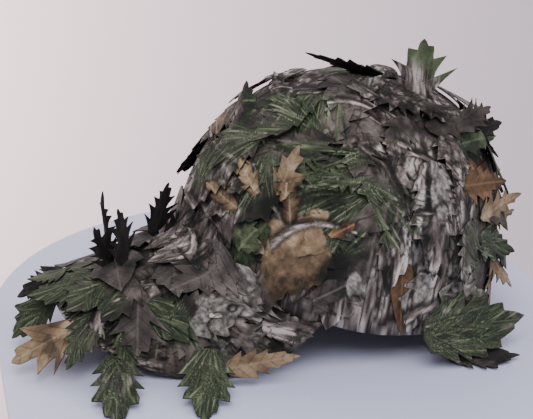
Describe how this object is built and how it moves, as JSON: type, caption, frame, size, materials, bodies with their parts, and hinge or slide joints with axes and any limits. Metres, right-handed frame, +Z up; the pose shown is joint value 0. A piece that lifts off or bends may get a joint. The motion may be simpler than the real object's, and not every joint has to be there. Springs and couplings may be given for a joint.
{
  "type": "leafy camouflage cap",
  "caption": "Structured six-panel cap with a curved visor and layered cut-leaf cloth flaps in a woodland print.",
  "frame": {"origin": "on the surface the cap stands on, below the middle of its length, on the plane of symmetry of the bare cap", "axes": "+Z up from the surface it stands on, -X out over the visor, +X to the back of the head, -Y to the wearer's left"},
  "size_m": [0.3039, 0.1972, 0.1821],
  "materials": {
    "printed_cloth": null,
    "leaf_cloth": "die-cut knit cloth, woodland print outside, near-black inside",
    "buckram": "stiff open-weave buckram",
    "seam_tape": "black-brown bias tape",
    "sweatband_cloth": "cotton twill",
    "visor_board": "moulded polyethylene board",
    "washer_metal": "pressed washer",
    "strap_webbing": "folded cloth strap",
    "hook_tape": "hook tape",
    "loop_tape": "loop pile tape"
  },
  "bodies": {
    "cap": {"buckram_front_left": "buckram", "buckram_front_right": "buckram", "button_washer": "washer_metal", "crown_panel_front_left": "printed_cloth", "crown_panel_front_right": "printed_cloth", "crown_panel_rear_left": "printed_cloth", "crown_panel_rear_right": "printed_cloth", "crown_panel_side_left": "printed_cloth", "crown_panel_side_right": "printed_cloth", "leaf_bark_tall": "leaf_cloth", "leaf_far_bark": "leaf_cloth", "leaf_far_front": "leaf_cloth", "leaf_far_lichen": "leaf_cloth", "leaf_far_oak": "leaf_cloth", "leaf_far_visor": "leaf_cloth", "leaf_fern_spray": "leaf_cloth", "leaf_folded_grey": "leaf_cloth", "leaf_front_bark": "leaf_cloth", "leaf_golden_oak": "leaf_cloth", "leaf_grey_serrated": "leaf_cloth", "leaf_hanging_needles": "leaf_cloth", "leaf_hanging_olive": "leaf_cloth", "leaf_lichen_patch": "leaf_cloth", "leaf_needles_front": "leaf_cloth", "leaf_oak_drooping": "leaf_cloth", "leaf_oak_high": "leaf_cloth", "leaf_orange_long": "leaf_cloth", "leaf_pale_lichen": "leaf_cloth", "leaf_pine_low": "leaf_cloth", "leaf_pine_mid": "leaf_cloth", "leaf_pine_upper": "leaf_cloth", "leaf_rear_brown": "leaf_cloth", "leaf_rear_dark": "leaf_cloth", "leaf_rear_fern": "leaf_cloth", "leaf_rear_green": "leaf_cloth", "leaf_rear_tan": "leaf_cloth", "leaf_smooth_dark": "leaf_cloth", "leaf_striped_edge": "leaf_cloth", "leaf_tall_upright": "leaf_cloth", "leaf_top_brown": "leaf_cloth", "leaf_under_brim": "leaf_cloth", "leaf_upright_long": "leaf_cloth", "loop_pile": "loop_tape", "loop_strap": "strap_webbing", "rear_opening_binding": "seam_tape", "seam_tape_1": "seam_tape", "seam_tape_2": "seam_tape", "seam_tape_3": "seam_tape", "seam_tape_4": "seam_tape", "seam_tape_5": "seam_tape", "seam_tape_6": "seam_tape", "sweatband": "sweatband_cloth", "top_button": "printed_cloth", "visor_board": "visor_board", "visor_edge_binding": "seam_tape", "visor_top_cover": "printed_cloth", "visor_under_cover": "printed_cloth"},
    "tab": {"hook_tab": "strap_webbing", "hook_pile": "hook_tape"}
  },
  "joints": [
    {"name": "strap_adjust", "type": "hinge", "parent": "cap", "child": "tab", "pos_m": [0.06486, 0, 0.01199], "axis": [0.1908, 0, 0.9816], "range_deg": [-16, 6]}
  ]
}
